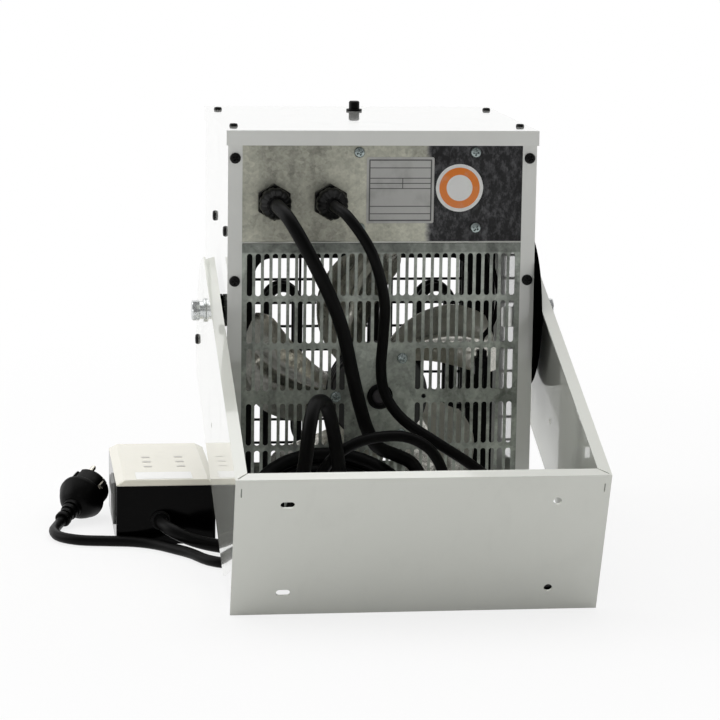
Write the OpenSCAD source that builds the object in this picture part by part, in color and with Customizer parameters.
// Industrial fan heater with a swing bracket, a reset button and a corded control box.
// The air inlet, with its slotted panel, is at -Y and the outlet is at +Y.
// The heater stands on its underside at z = 0, and the bracket lies behind it on the floor.

/* [Casing] */
// Width of the casing over its painted sides
casing_w = 270; // [264:1:290]
// Depth of the casing, inlet to outlet
casing_d = 250; // [240:1:270]
// Height of the casing with its lid
casing_h = 370; // [364:1:390]
// Thickness of the painted sheet
sheet_t = 1.2; // [1:0.1:1.6]
// Width of the painted rim at each side of the inlet
rim_side = 12.5; // [11:0.5:14]
// Height of the painted rim under the inlet
rim_base = 6; // [4:0.5:7]
// Height of the lid's skirt
lid_skirt = 13; // [10:0.5:15]
// Gap between the lid's skirt and the casing
lid_gap = 0.3; // [0.2:0.1:0.5]

/* [Inlet panel] */
// Height of the joint between the inlet panel and the terminal cover
joint_z = 271.5; // [270:0.5:276]
// Thickness of the galvanised sheet
zinc_t = 1; // [0.8:0.1:1.2]
// Slots in a row
slot_count = 32; // [28:2:32]
// Distance between slots
slot_pitch = 7.46; // [7.2:0.02:7.6]
// Width of a slot
slot_w = 4.8; // [4:0.1:5.4]
// Length of a slot with its round ends
slot_len = 37.3; // [34:0.1:38]
// Metal between two rows of slots
row_gap = 4.6; // [4:0.1:5.2]
// Metal across the middle of the panel
mid_band = 11.4; // [10:0.2:13]
// Slots left out over the motor, in the two middle rows
motor_blank = 8; // [6:2:10]

/* [Fan and motor] */
// Height of the fan's axis
fan_z = 136; // [134:0.5:138]
// Radius of the fan over its blades
fan_r = 120; // [108:1:122]
// Number of blades
blade_count = 5; // [4:1:6]
// Thickness of a blade
blade_t = 1.4; // [1:0.1:2]
// Angle that a blade sweeps forward from its root to its tip
blade_sweep = 32; // [10:1:40]
// Radius of the fan's pressed hub plate
hub_r = 34; // [30:1:38]
// Radius of the motor's can
motor_r = 42; // [38:1:46]
// Length of the motor's can
motor_len = 46; // [40:1:50]
// Radius of the motor shaft
shaft_r = 4; // [3:0.5:5]
// Radial clearance of a turning shaft
shaft_play = 0.05; // [0.02:0.01:0.08]
// Radius of the circle of motor screws
motor_bolt_r = 39; // [37:0.5:39]
// Outer radius of the rubber grommet over the motor's end
grommet_r = 10.4; // [9:0.2:12]
// Radius of the grommet's hole
grommet_bore = 5.8; // [5:0.2:6.5]

/* [Heating elements] */
// Distance from the casing's middle to the element frame, towards the outlet
frame_y = 4; // [0:1:10]
// Width of the window in the element frame
window_w = 198; // [190:1:204]
// Height of the window in the element frame
window_h = 210; // [200:1:214]
// Radius of the window's corners
window_r = 16; // [8:1:24]
// Radius of the heating tube
tube_r = 4.2; // [3.4:0.1:4.4]
// Distance between the legs of a hairpin
leg_pitch = 28.8; // [26:0.2:31]
// Distance between two hairpins
hairpin_pitch = 71.4; // [68:0.2:73]
// Height of the upper bends above the fan's axis
bend_top = 75.6; // [60:0.2:82]
// Depth of the lower bends under the fan's axis
bend_low = 78; // [60:1:84]
// Distance between the two heating tubes
tube_gap = 20; // [16:1:24]

/* [Outlet] */
// Width of the outlet opening
outlet_w = 222; // [200:1:230]
// Height of the outlet opening
outlet_h = 222; // [200:1:230]
// Distance between the guard's long wires
wire_pitch = 22.8; // [20:0.2:25]
// Radius of a guard wire
wire_r = 1.3; // [1:0.1:1.6]

/* [Glands and reset button] */
// Distance of the control cord's gland from the middle
gland_a_x = 95; // [90:1:100]
// Distance of the power cord's gland from the middle
gland_b_x = 46; // [40:1:50]
// Height of the two glands
gland_z = 308; // [305:1:312]
// Width of a gland across its flats
gland_af = 27; // [24:0.5:28]
// Length of a gland outside the cover
gland_len = 28; // [26:1:31]
// Radius of the reset button
button_r = 4.95; // [4:0.05:5.2]
// Height of the reset button over its collar
button_h = 7.4; // [5:0.2:9]
// Travel of the reset button
button_travel = 2; // [1:0.5:3]
// Distance of the reset button from the middle, towards the outlet
button_y = 77; // [60:1:90]

/* [Bracket] */
// Distance from a casing side to the outer face of an arm
arm_out = 15; // [14.5:0.5:22]
// Thickness of the bracket's sheet
bracket_t = 2; // [1.5:0.1:3]
// Height of the bracket's back web
web_h = 129; // [120:1:135]
// Width of an arm
arm_w = 138; // [120:1:140]
// Distance from the web to the pivot, along the arm
pivot_reach = 323; // [315:1:340]
// Distance from an arm's upper edge to the pivot
pivot_drop = 30; // [26:1:36]
// Length of an arm past the pivot
arm_tail = 92; // [60:1:96]
// Width of the turned-in lip along the upper edges
lip_w = 10; // [8:0.5:10]
// Height of the pivot above the floor
pivot_z = 206; // [200:1:212]
// Distance of the pivot behind the casing's middle
pivot_y = 75; // [65:1:80]
// Radius of the pivot bolts
bolt_r = 5; // [4:0.5:6]
// Distance of the wall fixing holes from the middle
fix_x = 108; // [100:1:112]
// Depth of the upper fixing holes under the web's upper edge
fix_top = 24; // [20:1:28]
// Depth of the lower fixing holes under the web's upper edge
fix_low = 108; // [100:1:110]
// Radius of the fixing holes
fix_r = 3.4; // [3:0.1:4]
// Length of the fixing slots
fix_slot = 11.5; // [9:0.5:14]
// Radius of the large friction disc on the right side
disc_r = 70; // [60:1:70]
// Thickness of the large friction disc
disc_t = 4.4; // [3.6:0.2:4.8]

/* [Control box] */
// Width of the control box
box_w = 88; // [82:1:90]
// Length of the control box
box_l = 162; // [150:1:170]
// Height of the control box
box_h = 58; // [52:1:60]
// Height of the pale lid of the control box
box_lid_h = 5; // [4:0.5:8]

/* [Cords] */
// Diameter of the control cord
ctrl_d = 12; // [11:0.5:12]
// Diameter of the power cord
power_d = 9.5; // [9:0.5:9.5]

/* [Hidden] */
$fn = 48;
e = 0.01;
hw = casing_w/2;
hd = casing_d/2;
top_z = casing_h - sheet_t;
rim_top = casing_h - lid_skirt;
inner_w = casing_w - 2*sheet_t - 0.6;
panel_y = -hd + sheet_t;
flange = 18;
screw_r = 1.8;
head_r = 4.4;
head_h = 2.4;
screw_gap = 0.2;
rim_screw_x = hw - rim_side/2;
rim_screw_z = [25, 239, casing_h - 24];
side_screw_y = [-hd + 21, 0.072*hd];
side_screw_z = joint_z + 8.5;
lid_screw = [hw - 8, 85];
cover_screw = [[-21, casing_h - 19], [81, casing_h - 19], [82, joint_z + 13.5], [-20, joint_z + 13.5]];
row_len = slot_len;
slot_rows = [for (k = [0:2]) mid_band/2 + row_len/2 + k*(row_len + row_gap)];
motor_y = panel_y + zinc_t;
motor_end = motor_y + motor_len;
fan_y = motor_end + 20;
shaft_in = 22;
hole_a = [0, 60, 180, 300];
frame_side = 9.5;
leg_x = [for (c = [-1, 0, 1], s = [-1, 1]) c*hairpin_pitch + s*leg_pitch/2];
frame_t = 1.2;
inner_r = 2.2;
wire_x = 100;
wire_y = -96;
shelf_z = fan_z - window_h/2 - 6;
tube_y = [frame_y + frame_t + 14, frame_y + frame_t + 14 + tube_gap];
outlet_z = fan_z;
guard_y = hd + wire_r;
bw = hw + arm_out;
arm_gap = bw - bracket_t - hw;
fit_gap = 0.1;
// The bracket's lowest edge stands on the floor, which sets its tilt
arc_r = sqrt(pow(pivot_reach, 2) + pow(web_h - pivot_drop, 2));
tilt = asin(pivot_z/arc_r) - atan((web_h - pivot_drop)/pivot_reach);
pivot = [0, -pivot_y, pivot_z];
box_x = -(hw + 7 + box_w/2);
box_y0 = -100;
box_gland = [box_x - 5, box_y0, 22];
bush_t = 2.5;
bolt_hex = 1.96*bolt_r;
bolt_in = 8;
spring_t = 3.4;
head_t = 7;
bolt_play = 0.1;
poles = 6;
pole_pitch = 13;
block_d = 20;

// ---- small shapes ----
module box(x0, x1, y0, y1, z0, z1) translate([x0, y0, z0]) cube([x1 - x0, y1 - y0, z1 - z0]);
module rod_x(p, r, len, f = 48) translate(p) rotate([0, 90, 0]) cylinder(r = r, h = len, $fn = f);
module rod_y(p, r, len, f = 48) translate(p) rotate([-90, 0, 0]) cylinder(r = r, h = len, $fn = f);
module slot2(len, w) {
  square([w, len - w], center = true);
  for (s = [-1, 1]) translate([0, s*(len - w)/2]) circle(r = w/2, $fn = 24);
}
module round_rect(w, h, r) {
  square([w - 2*r, h], center = true);
  square([w, h - 2*r], center = true);
  for (i = [-1, 1], j = [-1, 1]) translate([i*(w/2 - r), j*(h/2 - r)]) circle(r = r, $fn = 40);
}
// A plate standing across Y, drawn as x and z
module plate_xz(y, t) translate([0, y + t, 0]) rotate([90, 0, 0]) linear_extrude(t) children();
// A pan head screw that goes into +Y, with its head's seat at the origin
module screw_y(len) {
  rod_y([0, -head_h*0.6, 0], head_r, head_h*0.6);
  rod_y([0, -head_h, 0], head_r*0.78, head_h*0.4 + e);
  rod_y([0, -e, 0], screw_r, len);
}

// ---- casing ----
module rim_holes(y, t) for (s = [-1, 1], z = rim_screw_z)
  rod_y([s*rim_screw_x, y - 1, z], screw_r + screw_gap, t + 2, 24);
module casing() color("whitesmoke") difference() {
  box(-hw, hw, -hd, hd, 0, top_z);
  box(-hw + sheet_t, hw - sheet_t, -hd + sheet_t, hd - sheet_t, sheet_t, top_z - sheet_t);
  box(-hw + rim_side, hw - rim_side, -hd - 1, -hd + sheet_t + 1, rim_base, rim_top);
  box(-hw + flange, hw - flange, hd - sheet_t - 1, hd + 1, flange, rim_top);
  box(-hw + flange, hw - flange, -hd + flange, hd - flange, top_z - sheet_t - 1, top_z + 1);
  rim_holes(-hd, sheet_t);
  for (s = [-1, 1]) {
    for (y = side_screw_y) rod_x([s*hw - 3, y, side_screw_z], screw_r + screw_gap, 6, 24);
    for (u = [-1, 1]) translate([s*lid_screw[0], u*lid_screw[1], top_z - 4])
      cylinder(r = screw_r + screw_gap, h = 8, $fn = 24);
    rod_x([s*hw - 3, -pivot_y, pivot_z], bolt_r + 0.2, 6);
  }
}
module lid() color("white") difference() {
  lw = hw + lid_gap + sheet_t;
  ld = hd + lid_gap + sheet_t;
  box(-lw, lw, -ld, ld, rim_top, casing_h);
  box(-hw - lid_gap, hw + lid_gap, -hd - lid_gap, hd + lid_gap, rim_top - 1, top_z);
  for (s = [-1, 1], u = [-1, 1]) translate([s*lid_screw[0], u*lid_screw[1], top_z - 4])
    cylinder(r = screw_r + screw_gap, h = 8, $fn = 24);
  translate([0, button_y, top_z - 4]) cylinder(r = button_r + 1.6, h = 8);
}
module front_panel() color("gainsboro") difference() {
  plate_xz(hd - sheet_t - zinc_t, zinc_t) difference() {
    translate([0, (top_z - sheet_t)/2 + sheet_t/2]) square([inner_w, top_z - 2*sheet_t - 0.6], center = true);
    translate([0, outlet_z]) round_rect(outlet_w, outlet_h, 14);
  }
}
// The guard is a set of level wires welded to three upright ones, with its ends let into the panel
module front_guard() color("dimgray") {
  n = floor((outlet_h/2 - 6)/wire_pitch);
  gy = hd - sheet_t - zinc_t - wire_r;
  for (k = [-n:n]) rod_x([-outlet_w/2 - 6, gy, outlet_z + k*wire_pitch], wire_r, outlet_w + 12, 20);
  for (x = [-outlet_w/2 - 3, -outlet_w/5, outlet_w/5, outlet_w/2 + 3])
    translate([x, gy - wire_r*1.6, outlet_z - n*wire_pitch - 4]) cylinder(r = wire_r, h = 2*n*wire_pitch + 8, $fn = 20);
}
module terminal_cover() color("lightgray") difference() {
  box(-inner_w/2, inner_w/2, panel_y, panel_y + zinc_t, joint_z + 0.3, top_z - sheet_t - 0.3);
  rim_holes(panel_y, zinc_t);
  for (x = [-gland_a_x, -gland_b_x]) rod_y([x, panel_y - 1, gland_z], 10.2, zinc_t + 2);
  for (p = cover_screw) rod_y([p[0], panel_y - 1, p[1]], screw_r + screw_gap, zinc_t + 2, 24);
}
module inlet_panel() color("silver") difference() {
  plate_xz(panel_y, zinc_t) difference() {
    translate([-inner_w/2, sheet_t]) square([inner_w, joint_z - sheet_t]);
    for (i = [0:slot_count - 1], k = [0:2], s = [-1, 1]) {
      x = (i - (slot_count - 1)/2)*slot_pitch;
      if (k > 0 || abs(i - (slot_count - 1)/2) > motor_blank/2)
        translate([x, fan_z + s*slot_rows[k]]) slot2(slot_len, slot_w);
    }
    translate([0, fan_z]) circle(r = grommet_bore + 1.4);
    for (a = hole_a) translate([0, fan_z]) rotate(a) translate([motor_bolt_r, 0])
      circle(r = screw_r + screw_gap, $fn = 24);
  }
  rim_holes(panel_y, zinc_t);
}
module partition() color("silver") difference() {
  y0 = panel_y + zinc_t + 0.3;
  y1 = hd - sheet_t - zinc_t - 0.3;
  box(-inner_w/2, inner_w/2, y0, y1, joint_z, joint_z + 16);
  box(-inner_w/2 + zinc_t, inner_w/2 - zinc_t, y0 - 1, y1 + 1, joint_z + zinc_t, joint_z + 17);
  for (s = [-1, 1], y = side_screw_y) rod_x([s*inner_w/2 - 3, y, side_screw_z], screw_r + screw_gap, 6, 24);
  translate([wire_x, wire_y, joint_z - 1]) cylinder(r = inner_r + 0.3, h = zinc_t + 2, $fn = 24);
}

// ---- motor and fan ----
module motor() color("slategray") difference() {
  union() {
    rod_y([0, motor_y, fan_z], motor_r, motor_len - 8, 72);
    rod_y([0, motor_y + motor_len - 8 - e, fan_z], motor_r - 5, 8, 72);
    for (k = [0:3]) rod_y([0, motor_y + 7 + k*8, fan_z], motor_r + 1.6, 3, 72);
  }
  rod_y([0, motor_end - shaft_in - 2, fan_z], shaft_r + shaft_play, shaft_in + 8);
  for (a = hole_a) translate([0, 0, fan_z]) rotate([0, a, 0]) rod_y([motor_bolt_r, motor_y - 1, 0], screw_r + screw_gap, 7, 24);
}
module motor_grommet() color("black") difference() {
  union() {
    rod_y([0, panel_y - 2.2, fan_z], grommet_r, 2.2);
    rod_y([0, panel_y - 2.2, fan_z], grommet_bore + 1.3, 2.2 + zinc_t);
  }
  rod_y([0, panel_y - 3, fan_z], grommet_bore, 6 + zinc_t);
}
module motor_screws() color("gray") for (a = [60, 180, 300]) translate([0, 0, fan_z]) rotate([0, -a, 0])
  translate([motor_bolt_r, panel_y, 0]) screw_y(zinc_t + 5);
module motor_shaft() color("lightsteelblue") rod_y([0, motor_end - shaft_in, fan_z], shaft_r, shaft_in + 32);
module fan_hub() color("darkgray") difference() {
  union() {
    rod_y([0, fan_y - 6, fan_z], 11, 16);
    rod_y([0, fan_y - 1, fan_z], hub_r, 2);
    rod_y([0, fan_y + 1 - e, fan_z], hub_r - 12, 3);
  }
  rod_y([0, fan_y - 8, fan_z], shaft_r + 0.01, 24);
}
// A blade is lofted from its root to its tip: it widens, twists, bows and sweeps forward, and its tip is rounded
function blade_half(u) = (fan_r/120)*(18 + 26*sin(90*min(1, 1.25*u)))*(1 - 0.28*pow(max(0, u - 0.75)/0.25, 2));
function blade_turn(u) = 42 - 19*u;
function blade_at(u, c, s) = let (r = hub_r + 0.15 + u*(fan_r - hub_r - 0.15), h = blade_half(u), v = c*2 - 1,
    a = blade_sweep*u + 57.3*v*h*cos(blade_turn(u))/r,
    y = v*h*sin(blade_turn(u)) + 4*(1 - v*v) + s*blade_t/2)
  [r*sin(a), y, r*cos(a)];
module blade() {
  nu = 12;
  nc = 7;
  pts = [for (s = [-1, 1], i = [0:nu], j = [0:nc]) blade_at(i/nu, j/nc, s)];
  m = (nu + 1)*(nc + 1);
  function q(s, i, j) = (s < 0 ? 0 : m) + i*(nc + 1) + j;
  faces = concat(
    [for (i = [0:nu - 1], j = [0:nc - 1], t = [0, 1])
      t == 0 ? [q(-1, i, j), q(-1, i, j + 1), q(-1, i + 1, j + 1)] : [q(-1, i, j), q(-1, i + 1, j + 1), q(-1, i + 1, j)]],
    [for (i = [0:nu - 1], j = [0:nc - 1], t = [0, 1])
      t == 0 ? [q(1, i, j), q(1, i + 1, j + 1), q(1, i, j + 1)] : [q(1, i, j), q(1, i + 1, j), q(1, i + 1, j + 1)]],
    [for (i = [0:nu - 1], t = [0, 1]) t == 0 ? [q(-1, i, 0), q(-1, i + 1, 0), q(1, i + 1, 0)] : [q(-1, i, 0), q(1, i + 1, 0), q(1, i, 0)]],
    [for (i = [0:nu - 1], t = [0, 1]) t == 0 ? [q(-1, i, nc), q(1, i + 1, nc), q(-1, i + 1, nc)] : [q(-1, i, nc), q(1, i, nc), q(1, i + 1, nc)]],
    [for (j = [0:nc - 1], t = [0, 1]) t == 0 ? [q(-1, 0, j), q(1, 0, j), q(1, 0, j + 1)] : [q(-1, 0, j), q(1, 0, j + 1), q(-1, 0, j + 1)]],
    [for (j = [0:nc - 1], t = [0, 1]) t == 0 ? [q(-1, nu, j), q(1, nu, j + 1), q(1, nu, j)] : [q(-1, nu, j), q(-1, nu, j + 1), q(1, nu, j + 1)]]);
  polyhedron(points = pts, faces = faces, convexity = 4);
}
module fan_blades() color("silver") for (k = [0:blade_count - 1])
  translate([0, fan_y, fan_z]) rotate([0, k*360/blade_count - 32, 0]) blade();

// ---- heating elements ----
module element_frame() color("dimgray") {
  plate_xz(frame_y, frame_t) difference() {
    translate([-inner_w/2 + frame_side, sheet_t]) square([inner_w - 2*frame_side, joint_z - sheet_t]);
    translate([0, fan_z]) round_rect(window_w, window_h, window_r);
  }
  difference() {
    box(-window_w/2 - 8, window_w/2 + 8, frame_y + frame_t - e, tube_y[1] + 12, shelf_z - frame_t, shelf_z);
    for (x = [leg_x[0], leg_x[5]], y = tube_y) translate([x, y, shelf_z - 4]) cylinder(r = tube_r + 1.2, h = 8);
  }
}
module u_bend(r, up) rotate([90, 0, 0]) rotate(up ? 0 : 180)
  rotate_extrude(angle = 180, $fn = 48) translate([r, 0]) circle(r = tube_r, $fn = 20);
module heating_tubes() color("darkslategray") for (y = tube_y) translate([0, y, fan_z]) {
  zt = bend_top - leg_pitch/2;
  zb = -bend_low + (hairpin_pitch - leg_pitch)/2;
  for (k = [0:5]) {
    z0 = k == 0 || k == 5 ? shelf_z - 12 - fan_z : zb;
    translate([leg_x[k], 0, z0]) cylinder(r = tube_r, h = zt - z0, $fn = 20);
  }
  for (k = [0, 2, 4]) translate([(leg_x[k] + leg_x[k + 1])/2, 0, zt]) u_bend(leg_pitch/2, true);
  for (k = [1, 3]) translate([(leg_x[k] + leg_x[k + 1])/2, 0, zb]) u_bend((hairpin_pitch - leg_pitch)/2, false);
}
module element_nuts() color("goldenrod") for (x = [leg_x[0], leg_x[5]], y = tube_y, s = [0, 1])
  translate([x, y, s == 0 ? shelf_z : shelf_z - frame_t - 4]) difference() {
    cylinder(r = tube_r + 4, h = 4, $fn = 6);
    translate([0, 0, -1]) cylinder(r = tube_r + 0.02, h = 6);
  }

// ---- thermostat and reset button ----
module thermostat() color("tan") {
  difference() {
    translate([0, button_y, top_z - 34]) cylinder(r = 14, h = 30);
    translate([0, button_y, top_z - 4 - 14]) cylinder(r = button_r + 0.08, h = 20);
  }
  difference() {
    box(-22, 22, button_y - 8, button_y + 8, top_z - 4 - e, top_z - 2);
    translate([0, button_y, top_z - 12]) cylinder(r = button_r + 1.6, h = 20);
  }
  for (s = [-1, 1]) box(s*19 - 3, s*19 + 3, button_y - 8, button_y + 8, top_z - 2 - e, top_z);
}
module reset_collar() color("black") difference() {
  union() {
    translate([0, button_y, casing_h]) cylinder(r = button_r + 2.4, h = 1.8, $fn = 48);
    translate([0, button_y, top_z - 2]) cylinder(r = button_r + 1.3, h = 2 + sheet_t + 1);
  }
  translate([0, button_y, top_z - 5]) cylinder(r = button_r + 0.08, h = 12);
}
module reset_button() color("black") {
  translate([0, button_y, top_z - 12]) cylinder(r = button_r, h = casing_h - top_z + 12 + 1.8 + button_h - 1);
  translate([0, button_y, casing_h + 1.8 + button_h - 1 - e]) cylinder(r1 = button_r, r2 = button_r - 1, h = 1, $fn = 48);
}

// ---- wiring inside ----
module terminal_block() color("ivory") {
  w = poles*pole_pitch;
  x0 = wire_x - inner_r - 0.4 - w;
  y0 = panel_y + 22;
  z0 = joint_z + zinc_t;
  difference() {
    box(x0, x0 + w, y0, y0 + block_d, z0, z0 + block_d);
    for (k = [0:poles - 1]) {
      rod_y([x0 + (k + 0.5)*pole_pitch, y0 - 1, z0 + 0.35*block_d], 2.4, block_d + 2, 24);
      translate([x0 + (k + 0.5)*pole_pitch, y0 + block_d/2, z0 + 0.6*block_d]) cylinder(r = 2.6, h = block_d/2, $fn = 24);
    }
    for (k = [1:poles - 1]) box(x0 + k*pole_pitch - 0.5, x0 + k*pole_pitch + 0.5, y0 - 1, y0 + block_d + 1, z0 + 0.75*block_d, z0 + block_d + 1);
  }
}
module connector() color("black") translate([wire_x - 5, wire_y, fan_z]) {
  box(-7, 7, -6, 6, 14, 30);
  box(-4.5, 4.5, -4, 4, 30 - e, 36);
}
module inner_wire() color("black") {
  sweep_tube(route(wire_top, 3), inner_r, 8);
  sweep_tube(route(wire_low, 3), inner_r, 8);
}

// ---- glands ----
module gland(af, len, cord_r, thread_r) {
  difference() {
    union() {
      rod_y([0, -7, 0], af/2/cos(30), 7, 6);
      rod_y([0, -9, 0], af/2 - 1.5, 2 + e);
      rod_y([0, -len + 6, 0], af/2/cos(30) - 0.8, len - 15 + e, 6);
      translate([0, -len + 6 + e, 0]) rotate([90, 0, 0]) cylinder(r1 = af/2 - 0.6, r2 = cord_r + 2.6, h = 6 + e, $fn = 48);
      rod_y([0, -e, 0], thread_r, zinc_t + 8);
    }
    rod_y([0, -len, 0], cord_r, len + zinc_t + 12);
  }
}
module lock_nut(af, r, y) difference() {
  rod_y([0, y, 0], af/2/cos(30), 4, 6);
  rod_y([0, y - 1, 0], r + 0.02, 6);
}
module gland_at(x, d) translate([x, panel_y, gland_z]) {
  gland(gland_af, gland_len, d/2, 10);
  lock_nut(gland_af, 10, zinc_t);
}
module gland_control() color("black") gland_at(-gland_a_x, ctrl_d);
module gland_power() color("black") gland_at(-gland_b_x, power_d);
module gland_box() color("black") translate(box_gland) difference() {
  union() {
    rod_y([0, -bush_t, 0], ctrl_d/2 + 2.6, bush_t);
    rod_y([0, -e, 0], ctrl_d/2 + 1.4, bush_t + 1.5);
  }
  rod_y([0, -bush_t - 1, 0], ctrl_d/2, 2*bush_t + 4);
}

// ---- screws ----
module rim_screws() color("black") for (s = [-1, 1], z = rim_screw_z) translate([s*rim_screw_x, -hd, z]) screw_y(9);
module cover_screws() color("silver") for (p = cover_screw) translate([p[0], panel_y, p[1]]) screw_y(7);
module lid_screws() color("black") for (s = [-1, 1], u = [-1, 1])
  translate([s*lid_screw[0], u*lid_screw[1], casing_h]) rotate([-90, 0, 0]) screw_y(8);
module side_screws() color("black") for (s = [-1, 1], y = side_screw_y)
  translate([s*hw, y, side_screw_z]) rotate([0, 0, s*90]) screw_y(8);

// ---- bracket ----
// Local frame: origin on the web's upper outer edge, y along the arm, z up square to it
module in_bracket() translate(pivot) rotate([tilt, 0, 0]) translate([0, -pivot_reach, pivot_drop]) children();
arm_end = pivot_reach + arm_tail;
lip_end = pivot_reach + arm_tail - 48;
module arm_outline() difference() {
  polygon([[0, 0], [lip_end, 0], [arm_end - 26, -16], [arm_end - 8, -34], [arm_end, -60], [arm_end, -arm_w + 22],
    [arm_end - 22, -arm_w], [68, -arm_w], [0, -web_h*0.64]]);
  translate([pivot_reach, -pivot_drop]) circle(r = bolt_r + shaft_play);
  for (p = [[24, -16], [70, -70], [-100, -58]]) translate([pivot_reach + p[0], -pivot_drop + p[1]]) circle(r = 2.6, $fn = 24);
}
module arm(s) translate([s > 0 ? bw - bracket_t : -bw, 0, 0]) rotate([90, 0, 90]) linear_extrude(bracket_t) arm_outline();
module bracket() color("white") in_bracket() {
  for (s = [-1, 1]) arm(s);
  // back web with two round holes and two slots
  difference() {
    box(-bw, bw, 0, bracket_t, -web_h, 0);
    for (z = [-fix_top, -fix_low]) {
      rod_y([fix_x, -1, z], fix_r, bracket_t + 2);
      plate_xz(-1, bracket_t + 2) translate([-fix_x, z]) rotate(90) slot2(fix_slot, 2*fix_r - 1);
    }
    for (s = [-1, 1]) box(s*(bw - 5) - 0.5, s*(bw - 5) + 0.5, -1, bracket_t + 1, -lip_w - 6, -lip_w + 2);
  }
  // lips with mitred corners
  translate([0, 0, -bracket_t]) linear_extrude(bracket_t) {
    polygon([[-bw + 1, e], [bw - 1, e], [bw - lip_w - 0.6, lip_w], [-bw + lip_w + 0.6, lip_w]]);
    for (s = [-1, 1]) polygon([[s*bw, 1], [s*bw, lip_end - 6], [s*(bw - lip_w), lip_end], [s*(bw - lip_w), lip_w + 0.6]]);
  }
}
module pivot_bolts() color("silver") for (s = [-1, 1]) translate(pivot) {
  x0 = bw + fit_gap + 2 + spring_t;
  rod_x([s > 0 ? x0 : -x0 - head_t, 0, 0], bolt_hex, head_t, 6);
  rod_x([s > 0 ? hw - bolt_in : -x0 - e, 0, 0], bolt_r, x0 - hw + bolt_in + e);
}
module ring_x(x, t, r, bore) difference() {
  rod_x([x, 0, 0], r, t);
  rod_x([x - 1, 0, 0], bore, t + 2);
}
module pivot_washers() color("silver") for (s = [-1, 1]) translate(pivot) {
  ring_x(s > 0 ? bw + fit_gap : -bw - fit_gap - 2, 2, 2.1*bolt_r, bolt_r + bolt_play);
  ring_x(s > 0 ? bw + fit_gap + 2 - e : -bw - fit_gap - 2 - spring_t, spring_t + e, 1.6*bolt_r, bolt_r + bolt_play);
  difference() {
    rod_x([s > 0 ? hw - sheet_t - 5 : -hw + sheet_t, 0, 0], bolt_hex, 5, 6);
    rod_x([s > 0 ? hw - 8 : -hw - 1, 0, 0], bolt_r + bolt_play, 10);
  }
}
// Black discs with radial teeth that lock the chosen angle
module toothed(x, t) difference() {
  union() {
    rod_x([x, 0, 0], 2.6*bolt_r, t, 72);
    for (a = [0:20:340]) rotate([a, 0, 0]) translate([x + t/2, 0, 2.6*bolt_r]) cube([t - 1, 2.2, 2.6], center = true);
  }
  rod_x([x - 1, 0, 0], bolt_r + bolt_play, t + 2);
}
module toothed_discs() color("black") translate(pivot) {
  half = (arm_gap - fit_gap - 0.3)/2;
  toothed(-hw - half, half);
  toothed(-bw + bracket_t + fit_gap, half);
  toothed(hw + disc_t, arm_gap - fit_gap - disc_t);
}
module friction_disc() color("black") translate(pivot) difference() {
  rod_x([hw, 0, 0], disc_r, disc_t, 120);
  rod_x([hw - 1, 0, 0], bolt_r + bolt_play, disc_t + 2);
  difference() {
    rod_x([hw + disc_t - 1.2, 0, 0], disc_r - 6, 3, 120);
    rod_x([hw + disc_t - 2, 0, 0], 22, 5);
  }
}

// ---- control box ----
module box_base() color("black") difference() {
  translate([box_x, box_y0 + box_l/2, 0]) linear_extrude(box_h - box_lid_h) round_rect(box_w, box_l, 3);
  translate([box_x, box_y0 + box_l/2, 2.5]) linear_extrude(box_h) round_rect(box_w - 5, box_l - 5, 1.5);
  rod_y([box_gland[0], box_y0 - 1, box_gland[2]], ctrl_d/2 + 1.6, 5);
}
module box_lid() color("ivory") {
  translate([box_x, box_y0 + box_l/2, box_h - box_lid_h]) hull() {
    linear_extrude(1.2) round_rect(box_w, box_l, 3);
    linear_extrude(box_lid_h) round_rect(box_w - 14, box_l - 4, 2);
  }
}
module box_latch() color("gray") translate([box_x - box_w/2, 0, 0]) {
  box(-2, 0, box_y0 + 20, box_y0 + 62, 14, box_h - box_lid_h - 1);
  box(-3.6, -2 + e, box_y0 + 22, box_y0 + 60, box_h - 16, box_h - box_lid_h - 2);
}

// ---- swept cords ----
function unit(v) = v/norm(v);
function cr(a, b, c, d, t) = 0.5*(2*b + (c - a)*t + (2*a - 5*b + 4*c - d)*t*t + (3*b - a - 3*c + d)*t*t*t);
// A smooth curve through the points, with n steps a span, straight over its first and last span
function route(p, n) = let (m = len(p) - 1) concat([p[0]],
  [for (i = [1:m - 2], k = [0:n - 1]) cr(p[i - 1], p[i], p[i + 1], p[i + 2], k/n)], [p[m - 1], p[m]]);
function tangent(p, i) = i == 0 ? unit(p[1] - p[0]) : i == len(p) - 1 ? unit(p[i] - p[i - 1]) : unit(p[i + 1] - p[i - 1]);
function carry(v, t) = unit(v - (v*t)*t);
function side_frames(p) = let (t0 = tangent(p, 0), s0 = abs(t0[2]) > 0.8 ? [1, 0, 0] : [0, 0, 1])
  [for (i = 0, v = carry(s0, t0); i < len(p); i = i + 1, v = i < len(p) ? carry(v, tangent(p, i)) : v) v];
module sweep_tube(p, r, sides) {
  f = side_frames(p);
  n = len(p);
  pts = [for (i = [0:n - 1], k = [0:sides - 1]) let (t = tangent(p, i), b = cross(t, f[i]), a = 360*(k + 0.5)/sides)
    p[i] + r*(cos(a)*f[i] + sin(a)*b)];
  faces = concat(
    [for (i = [0:n - 2], k = [0:sides - 1], h = [0, 1]) let (k1 = (k + 1) % sides)
      h == 0 ? [i*sides + k, (i + 1)*sides + k1, i*sides + k1] : [i*sides + k, (i + 1)*sides + k, (i + 1)*sides + k1]],
    [for (k = [1:sides - 2]) [0, k, k + 1]],
    [for (k = [1:sides - 2]) [(n - 1)*sides, (n - 1)*sides + k + 1, (n - 1)*sides + k]]);
  polyhedron(points = pts, faces = faces, convexity = 6);
}
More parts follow.
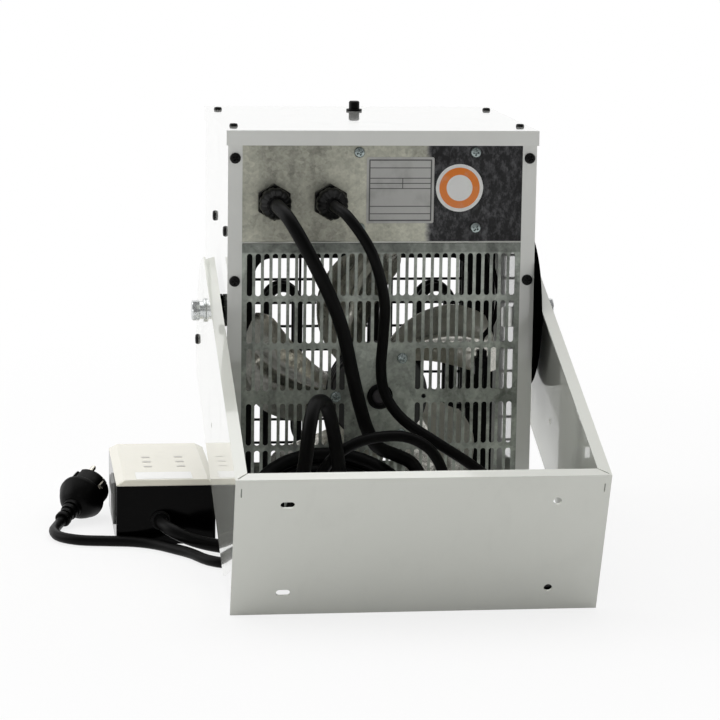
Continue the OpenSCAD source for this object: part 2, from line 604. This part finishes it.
// Piled loops in two layers: turns wind in on the upper layer, drop a layer, and wind out again
function coil_flat(d, mean, loops, steps) = let (n = round(loops*steps), p = 1.1*d, ro = mean + p*loops/4)
  [for (i = [0:n]) let (t = i/steps, half = loops/2, r = t < half ? ro - p*t : ro - p*(loops - t),
      f = min(1, max(0, (t - half + 0.25)/0.5)), z = d/2 + 1.1*d*(1 - f))
    [r*cos(-360*t), r*sin(-360*t), z]];
// Straight leads of one diameter at both ends, square to the radius
function with_leads(p, d) = let (n = len(p) - 1, a = unit([p[0][1], -p[0][0], 0]), b = unit([p[n][1], -p[n][0], 0]))
  concat([p[0] - d*a], p, [p[n] + d*b]);
function place(p, c, lean) = [for (q = p) [c[0] + q[0], c[1] + q[1]*cos(lean) - q[2]*sin(lean), c[2] + q[1]*sin(lean) + q[2]*cos(lean)]];
function self_gap(p, d, skip) = min([for (i = [0:len(p) - 1], j = [i + skip:1:len(p) - 1]) norm(p[i] - p[j]) - d]);

ctrl_loops = 3.25;
power_loops = 3.5;
loop_steps = 20;
ctrl_centre = [-50, -206, 42];
ctrl_lean = 30;
power_centre = [81, -266, 0];
ctrl_coil_pts = place(with_leads(coil_flat(ctrl_d, 66, ctrl_loops, loop_steps), ctrl_d), ctrl_centre, ctrl_lean);
power_coil_pts = place(with_leads(coil_flat(power_d, 50, power_loops, loop_steps), power_d), power_centre, 0);
echo(control_coil_gap = self_gap(ctrl_coil_pts, ctrl_d, 6));
echo(power_coil_gap = self_gap(power_coil_pts, power_d, 6));
function head_pts(p) = [p[0] + 1.2*(p[0] - p[1]), p[0]];
function tail_pts(p) = let (n = len(p) - 1) [p[n], p[n] + 1.2*(p[n] - p[n - 1])];
gland_out = panel_y - gland_len;
ctrl_up = concat([[-gland_a_x, gland_out, gland_z], [-gland_a_x, gland_out - 12, gland_z], [-88, -185, 300],
  [-72, -196, 272], [-54, -196, 236], [-42, -192, 205], [-34, -190, 171], [-27, -192, 142], [-19, -189, 118], [-9, -185, 103],
  [6, -178, 95], [20, -177, 88], [27, -184, 78]], head_pts(ctrl_coil_pts));
power_up = concat([[-gland_b_x, gland_out, gland_z], [-gland_b_x, gland_out - 10, gland_z], [-36, -180, 300],
  [-18, -190, 272], [-6, -184, 232], [-5, -175, 200], [-6, -171, 168], [-2, -175, 146], [12, -186, 127], [38, -196, 110],
  [72, -200, 88], [104, -204, 62], [128, -216, 36]], head_pts(power_coil_pts));
// The control cord stands up in a narrow bend, drops through it to the floor and runs to the control box
ctrl_low = concat(tail_pts(ctrl_coil_pts), [[-88, -278, 12], [-101, -289, 30], [-97, -294, 66], [-86, -293, 106], [-81, -285, 138],
  [-76, -272, 154], [-70, -258, 158], [-62, -245, 152], [-55, -234, 130], [-48, -227, 92], [-44, -219, 54], [-52, -199, 22],
  [-76, -171, 8], [-108, -149, 6.2], [-140, -140, 7], [-164, -136, 12], [-182, -129, 19], [box_gland[0], box_y0 - 12, box_gland[2]],
  [box_gland[0], box_y0 - bush_t, box_gland[2]]]);
plug_dir = [0.46, 0.82, 0.34];
plug_at = [-275, -30.3, 8.1];
// The power cord rises from its coil in a wide arc, comes down to the floor and runs round to the plug
power_low = concat(tail_pts(power_coil_pts), [[19, -241, 5], [19, -226, 5], [25, -213, 8], [35, -206, 18], [42, -206, 36],
  [45, -211, 60], [43, -219, 84], [31, -222, 107], [12, -221, 118.5], [-10, -219, 119.5], [-34, -216, 113], [-56, -211, 95],
  [-70, -203, 64], [-79, -194, 33], [-94, -186, 10.5], [-116, -187, 5.2], [-138, -192, 5], [-155, -180, 5], [-168, -155, 5],
  [-181, -138, 5], [-197, -120, 5], [-215, -109.5, 5], [-238, -105, 5], [-262, -100, 5], [-279, -86, 5], [-284, -65, 5],
  [-281, -46, 5]], [plug_at - 8*plug_dir, plug_at]);
// Wire from the terminals through the partition to a connector, and on to the motor's can
wire_top = [[wire_x, wire_y, joint_z + 12], [wire_x, wire_y, joint_z - 4], [wire_x + 2, wire_y, 250],
  [wire_x + 9, wire_y - 1, 222], [wire_x + 4, wire_y - 1, 196], [wire_x - 5, wire_y, fan_z + 46], [wire_x - 5, wire_y, fan_z + 36]];
wire_low = [[wire_x - 5, wire_y, fan_z + 14], [wire_x - 5, wire_y, fan_z + 4], [wire_x - 10, wire_y - 2, fan_z - 10],
  [motor_r + 32, motor_y + 21, fan_z - 14], [motor_r + 18, motor_y + 20.3, fan_z - 8], [motor_r + 9, motor_y + 20.3, fan_z],
  [motor_r + 0.3, motor_y + 20.3, fan_z]];

module control_cord_upper() color("black") sweep_tube(route(ctrl_up, 2), ctrl_d/2, 10);
module control_coil() color("black") sweep_tube(ctrl_coil_pts, ctrl_d/2, 6);
module control_cord_lower() color("black") sweep_tube(route(ctrl_low, 2), ctrl_d/2, 10);
module power_cord_upper() color("black") sweep_tube(route(power_up, 2), power_d/2, 10);
module power_coil() color("black") sweep_tube(power_coil_pts, power_d/2, 6);
module power_cord_lower() color("black") sweep_tube(route(power_low, 2), power_d/2, 10);

// ---- mains plug, drawn along +Z from the cord's end ----
boot_len = 20;
rim_at = boot_len + 17;
face_at = rim_at + 21;
head_rad = 18.6;
module at_plug() translate(plug_at) rotate([0, acos(plug_dir[2]/norm(plug_dir)), atan2(plug_dir[1], plug_dir[0])]) rotate(-25) children();
module plug_boot() color("black") at_plug() rotate_extrude($fn = 40)
  polygon([[0, 0], [5.6, 0], [5.9, 2.5], [5.2, 2.5], [5.2, 4.5], [6.6, 4.5], [6.9, 8], [6, 8], [6, 10], [7.6, 10], [8, 14], [7, 14],
    [7, 16], [8.6, 16], [9, boot_len], [0, boot_len]]);
module plug_body() color("black") at_plug() difference() {
  rotate_extrude($fn = 64) polygon([[0, boot_len], [9.4, boot_len], [13, boot_len + 2.5], [16, boot_len + 6], [18.6, boot_len + 10.5],
    [20.6, boot_len + 15], [21.6, rim_at], [21.6, rim_at + 2.6], [20.8, rim_at + 3.6], [head_rad, rim_at + 3.8],
    [head_rad, face_at - 1], [head_rad - 1, face_at], [0, face_at]]);
  for (s = [-1, 1]) {
    translate([s*9.5, 0, face_at - 11]) cylinder(r = 2.45, h = 16);
    translate([s*(head_rad + 0.5) - 2.5, -2.6, rim_at + 4.6]) cube([5, 5.2, 30]);
    translate([-3, s*(head_rad + 0.5) - 2.5, rim_at + 6]) cube([6, 5, 30]);
  }
}
module plug_pins() color("silver") at_plug() for (s = [-1, 1]) {
  translate([s*9.5, 0, face_at - 10]) {
    cylinder(r = 2.4, h = 27);
    translate([0, 0, 27 - e]) cylinder(r1 = 2.4, r2 = 1.6, h = 2, $fn = 32);
  }
  translate([-2.5, s*(head_rad - 1) - 0.6, rim_at + 6.3]) cube([5, 1.2, face_at - rim_at - 6.4]);
  translate([-2, s*(head_rad + 0.4) - 1, rim_at + 9]) cube([4, 2, 7]);
}

casing();
lid();
front_panel();
front_guard();
terminal_cover();
inlet_panel();
partition();
motor();
motor_grommet();
motor_screws();
motor_shaft();
fan_hub();
fan_blades();
element_frame();
heating_tubes();
element_nuts();
thermostat();
reset_collar();
reset_button();
terminal_block();
connector();
inner_wire();
gland_control();
gland_power();
rim_screws();
cover_screws();
lid_screws();
side_screws();
bracket();
pivot_bolts();
pivot_washers();
toothed_discs();
friction_disc();
box_base();
box_lid();
box_latch();
gland_box();
control_cord_upper();
control_coil();
control_cord_lower();
power_cord_upper();
power_coil();
power_cord_lower();
plug_boot();
plug_body();
plug_pins();
